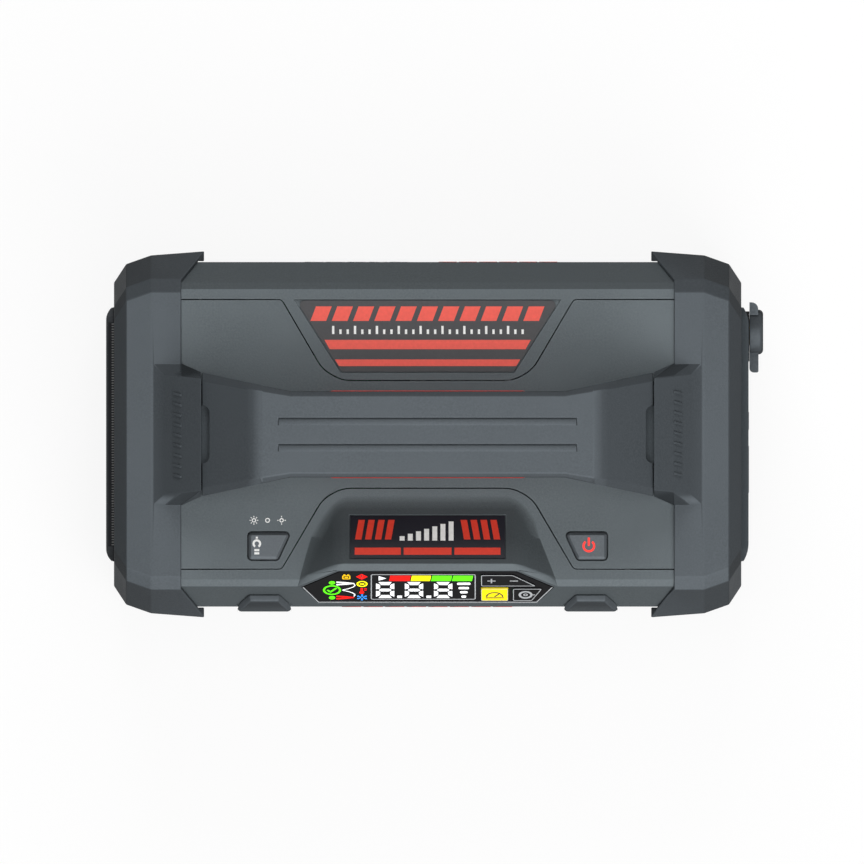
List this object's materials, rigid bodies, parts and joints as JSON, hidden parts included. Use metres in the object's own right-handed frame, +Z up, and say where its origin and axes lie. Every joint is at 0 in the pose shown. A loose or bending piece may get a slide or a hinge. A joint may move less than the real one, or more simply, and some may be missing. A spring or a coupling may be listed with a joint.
{
  "type": "jump starter pack",
  "caption": "Car jump starter pack with a built-in tyre inflator: grey moulded case, carry handle, sloped display with keys, end lamp, sockets and air outlet.",
  "frame": {"origin": "centre of the bounding box at the level of the feet", "axes": "+Z up, +X to the right along the handle, towards the sockets; the display faces -Y"},
  "size_m": [0.2254, 0.1256, 0.112],
  "materials": {
    "shell_grey": "fine moulded grain, mid grey",
    "cap_grey": "fine moulded grain, dark grey",
    "button_grey": "satin",
    "panel_grey": "fine moulded grain",
    "rubber": "matte",
    "red_rubber": "matte red",
    "black_glass": "gloss black",
    "smoked_glass": "smoked",
    "yellow_key": "yellow",
    "black_key": "gloss black",
    "label": "printed film",
    "lens": "clear",
    "reflector": "metallised",
    "circuit_board": "green solder mask",
    "socket_blue": "blue",
    "component_black": "black",
    "steel": "zinc plated",
    "brass": "machined",
    "aluminium": "die cast",
    "nylon": "natural nylon",
    "battery_cell": "blue foil pouch",
    "hose": "black"
  },
  "bodies": {
    "housing": {"base_pan": "shell_grey", "front_shell": "shell_grey", "rear_shell": "shell_grey", "top_deck": "shell_grey", "left_end_cap": "cap_grey", "right_end_cap": "cap_grey", "handle_bridge": "cap_grey", "light_bezel": "panel_grey", "port_panel": "panel_grey", "front_guard_left": "rubber", "front_guard_right": "rubber", "foot_front_left": "rubber", "foot_front_right": "rubber", "foot_rear_left": "rubber", "foot_rear_right": "rubber", "handle_underpad": "red_rubber", "display_window": "black_glass", "lcd_module": "smoked_glass", "console_label": "label", "rear_label": "label", "light_lens": "lens", "light_reflector": "reflector", "display_board": "circuit_board", "light_board": "circuit_board", "main_board": "circuit_board", "jump_socket": "socket_blue", "power_relay": "component_black", "battery_tray": "component_black", "usb_a_socket": "steel", "usb_c_socket": "steel", "motor_can": "steel", "crank_axle": "steel", "base_screw_front_left": "steel", "base_screw_front_right": "steel", "base_screw_rear_left": "steel", "base_screw_rear_right": "steel", "air_outlet": "brass", "compressor_frame": "aluminium", "cylinder": "aluminium", "cylinder_head": "aluminium", "capacitor": "aluminium", "battery_cell_1": "battery_cell", "battery_cell_2": "battery_cell", "battery_cell_3": "battery_cell", "battery_cell_4": "battery_cell", "air_tube": "hose"},
    "light_button": {"light_button": "button_grey"},
    "power_button": {"power_button": "button_grey"},
    "unit_key": {"unit_key": "yellow_key"},
    "pump_key": {"pump_key": "black_key"},
    "plus_minus_key": {"plus_minus_key": "black_key"},
    "jump_cover": {"jump_cover": "rubber"},
    "usb_cover": {"usb_cover": "rubber"},
    "air_outlet_cap": {"air_outlet_cap": "rubber"},
    "crank_gear": {"crank_gear": "nylon"},
    "motor_pinion": {"motor_pinion": "brass"},
    "piston_rod": {"piston_rod": "aluminium"}
  },
  "joints": [
    {"name": "light_button_press", "type": "slide", "parent": "housing", "child": "light_button", "axis": [0, 0, -1], "range_m": [0, 0.001], "stiffness_N_per_m": 600},
    {"name": "power_button_press", "type": "slide", "parent": "housing", "child": "power_button", "axis": [0, 0, -1], "range_m": [0, 0.001], "stiffness_N_per_m": 600},
    {"name": "unit_key_press", "type": "slide", "parent": "housing", "child": "unit_key", "axis": [0, 0.848, -0.5299], "range_m": [0, 0.0005], "stiffness_N_per_m": 600},
    {"name": "pump_key_press", "type": "slide", "parent": "housing", "child": "pump_key", "axis": [0, 0.848, -0.5299], "range_m": [0, 0.0005], "stiffness_N_per_m": 600},
    {"name": "plus_minus_rock", "type": "hinge", "parent": "housing", "child": "plus_minus_key", "pos_m": [0.02345, -0.04925, 0.08581], "axis": [0, 0.5299, 0.848], "range_deg": [-2, 2], "stiffness_Nm_per_rad": 0.05},
    {"name": "jump_cover_hinge", "type": "hinge", "parent": "housing", "child": "jump_cover", "pos_m": [0.1069, -0.012, 0.0562], "axis": [0, -1, 0], "range_deg": [0, 100]},
    {"name": "usb_cover_hinge", "type": "hinge", "parent": "housing", "child": "usb_cover", "pos_m": [0.1069, -0.00305, 0.0303], "axis": [0, -1, 0], "range_deg": [0, 100]},
    {"name": "air_outlet_cap_swing", "type": "hinge", "parent": "housing", "child": "air_outlet_cap", "pos_m": [0.10955, 0.02275, 0.046], "axis": [0, 0, -1], "range_deg": [0, 110]},
    {"name": "crank_spin", "type": "hinge", "parent": "housing", "child": "crank_gear", "pos_m": [0.0566, -0.007, 0.028], "axis": [1, 0, 0], "continuous": true},
    {"name": "pinion_spin", "type": "hinge", "parent": "housing", "child": "motor_pinion", "pos_m": [0.0566, 0.018, 0.028], "axis": [1, 0, 0], "continuous": true},
    {"name": "piston_slide", "type": "slide", "parent": "housing", "child": "piston_rod", "axis": [0, -1, 0], "range_m": [-0.006, 0.006]}
  ],
  "couplings": [
    {"joint": "pinion_spin", "follows": "crank_spin", "ratio": -4}
  ]
}
